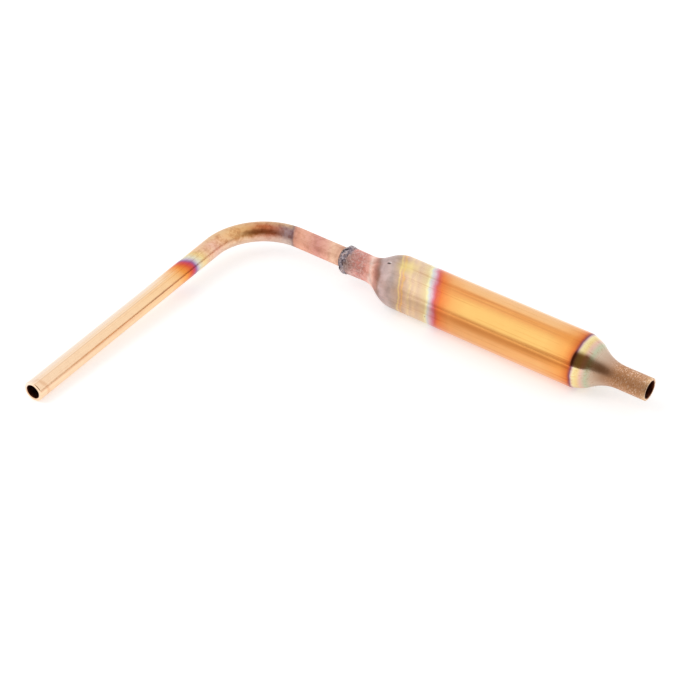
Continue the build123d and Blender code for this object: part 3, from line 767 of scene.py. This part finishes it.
def poured_bed_tree():
    """Nodes that set a bead at each point they are given, each a little smaller than its place."""
    tree, given = new_tree("poured_bed", {
        "Centres": "Geometry", "Bead radius": "Float", "Smallest": "Float", "Seed": "Int",
        "Material": "Material"}, "Bed")
    bead = add(tree, "GeometryNodeMeshIcoSphere", {"Radius": given["Bead radius"], "Subdivisions": 2})
    smooth = add(tree, "GeometryNodeSetShadeSmooth", {"Geometry": bead})
    sizes = add(tree, "FunctionNodeRandomValue", {
        "Min": given["Smallest"], "Max": 1.0, "Seed": given["Seed"]}, data_type="FLOAT")
    poured = add(tree, "GeometryNodeInstanceOnPoints", {
        "Points": given["Centres"], "Instance": smooth, "Scale": sizes})
    real = add(tree, "GeometryNodeRealizeInstances", {"Geometry": poured})
    dressed = add(tree, "GeometryNodeSetMaterial", {"Geometry": real, "Material": given["Material"]})
    add(tree, "NodeGroupOutput", {"Bed": dressed})
    return tree


# The beads stack as shot packs, layer on layer, and keep clear of the wall and of the bands.
bed_middle = (bed_low.x + bed_high.x) / 2
clear_of_bands = (bed_high.x - bed_low.x) / 2 - band_room - bead_size / 2
from_centre = (beads_across - 1) / 2
centres = []
for number in range(layers * beads_across ** 2):
    layer, rest = divmod(number, beads_across ** 2)
    row, column = divmod(rest, beads_across)
    ahead = bed_low.x + bead_size / 2 + layer * layer_step
    beside = (column - from_centre + (row % 2 + layer % 2) / 2 - 0.25) * bead_size
    over = ((row - from_centre) * sqrt(3) / 2 + layer % 2 * sqrt(3) / 6) * bead_size
    clear_radius = band_bore if abs(ahead - bed_middle) > clear_of_bands else bed_radius
    if hypot(beside, over) + bead_size / 2 <= clear_radius:
        centres.append(Vector((ahead, beside, over)) * MM)
bead_centres = bpy.data.meshes.new("bead_centres")
bead_centres.from_pydata(centres, [], [])
bead_bed = grown("bead_bed", bead_centres, poured_bed_tree(), {
    "Bead radius": bead_size / 2 * MM, "Smallest": smallest_bead, "Seed": bead_seed, "Material": zeolite})
bead_bed.data.materials.pop(index=0)  # the empty slot that comes with the sphere node
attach(bead_bed, "root")
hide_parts("molecular_sieve")

# ----------------------------------------------------------------------------------------
# Studio: a pale sweep of floor, one large soft lamp above the front, pale walls with a
# darker line where they meet the floor, and the camera above the near right corner.
# ----------------------------------------------------------------------------------------
floor_half = 2.0
floor_level = cad_box[0][2] - 0.05 * MM
shade_middle = (-70.0, -60.0, -8.0)
rear_way = (-0.707, 0.707, 0.0)
dark_way = (0.53, -0.72, 0.445)
glow_way = (-0.466, -0.613, 0.637)
lamp_way = Vector((-0.466, -0.613, 0.9))
lamp_distance = 0.9
lamp_aim = Vector((-0.05, -0.01, 0.0))
camera_place = Vector((146.2, -352.627, 282.796))
camera_right = Vector((0.80415, 0.59359, 0.0316))
camera_ahead = Vector((-0.46558, 0.662, -0.58735))
white = srgb("#ffffff")

# Matte white floor: lit enough to stay white to the eye and in the metal, with a shadow. The metal also shows
# a dim warm patch of it between the leg and the body, painted shade that shows only in reflections.
floor_material, tree, shader, mm = new_material("matte_white_floor")
path = add(tree, "ShaderNodeLightPath").outputs
seen = add(tree, "ShaderNodeMath", {0: path["Is Camera Ray"], 1: path["Is Glossy Ray"]}, operation="MAXIMUM")
apart = add(tree, "ShaderNodeVectorMath", {0: mm, 1: shade_middle}, operation="DISTANCE")
patch = add(tree, "ShaderNodeMapRange", {
    "Value": apart, "From Min": 25.0, "From Max": 65.0, "To Min": 1.0, "To Max": 0.0},
    interpolation_type="SMOOTHSTEP")
mirrored = add(tree, "ShaderNodeMath", {0: patch, 1: path["Is Glossy Ray"]}, operation="MULTIPLY")
paint = add(tree, "ShaderNodeMix", {
    "Factor": mirrored, "A": srgb("#e7e7e7"), "B": srgb("#c8b6aa")}, data_type="RGBA")
lift = add(tree, "ShaderNodeMapRange", {"Value": mirrored, "To Min": 0.45, "To Max": 0.25})
lifted = add(tree, "ShaderNodeMath", {0: seen, 1: lift}, operation="MULTIPLY")
lit = add(tree, "ShaderNodeEmission", {"Color": white, "Strength": lifted})
both = add(tree, "ShaderNodeAddShader", {0: shader, 1: lit})
join(tree, shader, {"Base Color": paint, "Roughness": 0.9, "Specular IOR Level": 0.0})
join(tree, tree.nodes["Material Output"], {"Surface": both})
mesh = bpy.data.meshes.new("floor")
corners = [(x * floor_half, y * floor_half, floor_level) for x, y in ((-1, -1), (1, -1), (1, 1), (-1, 1))]
mesh.from_pydata(corners, [], [(0, 1, 2, 3)])
mesh.materials.append(floor_material)
floor = placed("floor", mesh)

# Room: white to the eye, and in the metal pale walls with a tan line at the floor's level, paler at
# the rear, with something warm and dark in front and a glow where the lamp is.
world = bpy.data.worlds.new("studio")
bpy.context.scene.world = world
world.use_nodes = True
tree = world.node_tree
way = add(tree, "ShaderNodeTexCoord").outputs["Generated"]
height = add(tree, "ShaderNodeSeparateXYZ", {"Vector": way}).outputs["Z"]
level = add(tree, "ShaderNodeMapRange", {"Value": height, "From Min": -1.0, "From Max": 1.0})
bands = add(tree, "ShaderNodeValToRGB", {"Fac": level}, span=(-1.0, 1.0), stops=(
    (-0.3, "#ffffff"), (-0.06, "#dcc9ba"), (0.06, "#dcc9ba"), (0.22, "#ffffff"), (1.0, "#fbfbfb")))
rear = add(tree, "ShaderNodeVectorMath", {0: way, 1: rear_way}, operation="DOT_PRODUCT")
faint = add(tree, "ShaderNodeMapRange", {
    "Value": rear, "From Min": 0.1, "From Max": 0.7, "To Min": 0.0, "To Max": 0.8})
walls = add(tree, "ShaderNodeMix", {"Factor": faint, "A": bands, "B": white}, data_type="RGBA")
fore = add(tree, "ShaderNodeVectorMath", {0: way, 1: dark_way}, operation="DOT_PRODUCT")
dark_front = add(tree, "ShaderNodeMapRange", {
    "Value": fore, "From Min": 0.69, "From Max": 0.9}, interpolation_type="SMOOTHSTEP")
shaded = add(tree, "ShaderNodeMix", {
    "Factor": dark_front, "A": walls, "B": srgb("#7e6345")}, data_type="RGBA")
toward = add(tree, "ShaderNodeVectorMath", {0: way, 1: glow_way}, operation="DOT_PRODUCT")
glow = add(tree, "ShaderNodeMapRange", {
    "Value": toward, "From Min": 0.75, "From Max": 1.0, "To Min": 1.0, "To Max": 1.17},
    interpolation_type="SMOOTHSTEP")
room = add(tree, "ShaderNodeMix", {
    "Factor": 1.0, "A": shaded, "B": glow}, data_type="RGBA", blend_type="MULTIPLY")
path = add(tree, "ShaderNodeLightPath").outputs
plain = add(tree, "ShaderNodeMix", {"Factor": path["Is Glossy Ray"], "A": white, "B": room}, data_type="RGBA")
seen = add(tree, "ShaderNodeMath", {0: path["Is Camera Ray"], 1: path["Is Glossy Ray"]}, operation="MAXIMUM")
strength = add(tree, "ShaderNodeMapRange", {"Value": seen, "To Min": 0.72, "To Max": 1.0})
join(tree, tree.nodes["Background"], {"Color": plain, "Strength": strength})

lamp = bpy.data.lights.new("softbox", "AREA")
lamp.shape = "SQUARE"
lamp.size = 0.5
lamp.energy = 1.6
softbox = placed("softbox", lamp)
softbox.visible_glossy = False
softbox.location = lamp_aim + lamp_way.normalized() * lamp_distance
softbox.rotation_euler = (lamp_aim - softbox.location).to_track_quat("-Z", "Y").to_euler()

lens = bpy.data.cameras.new("camera")
lens.lens = 92.605
lens.sensor_width = 36.0
lens.clip_start = 0.01
camera = placed("camera", lens)
right, ahead = camera_right.normalized(), camera_ahead.normalized()
camera_turn = Matrix((right, right.cross(ahead).normalized(), -ahead)).transposed().to_4x4()
camera.matrix_world = Matrix.Translation(camera_place * MM) @ camera_turn
bpy.context.scene.camera = camera
bpy.context.scene.view_settings.view_transform = "Standard"
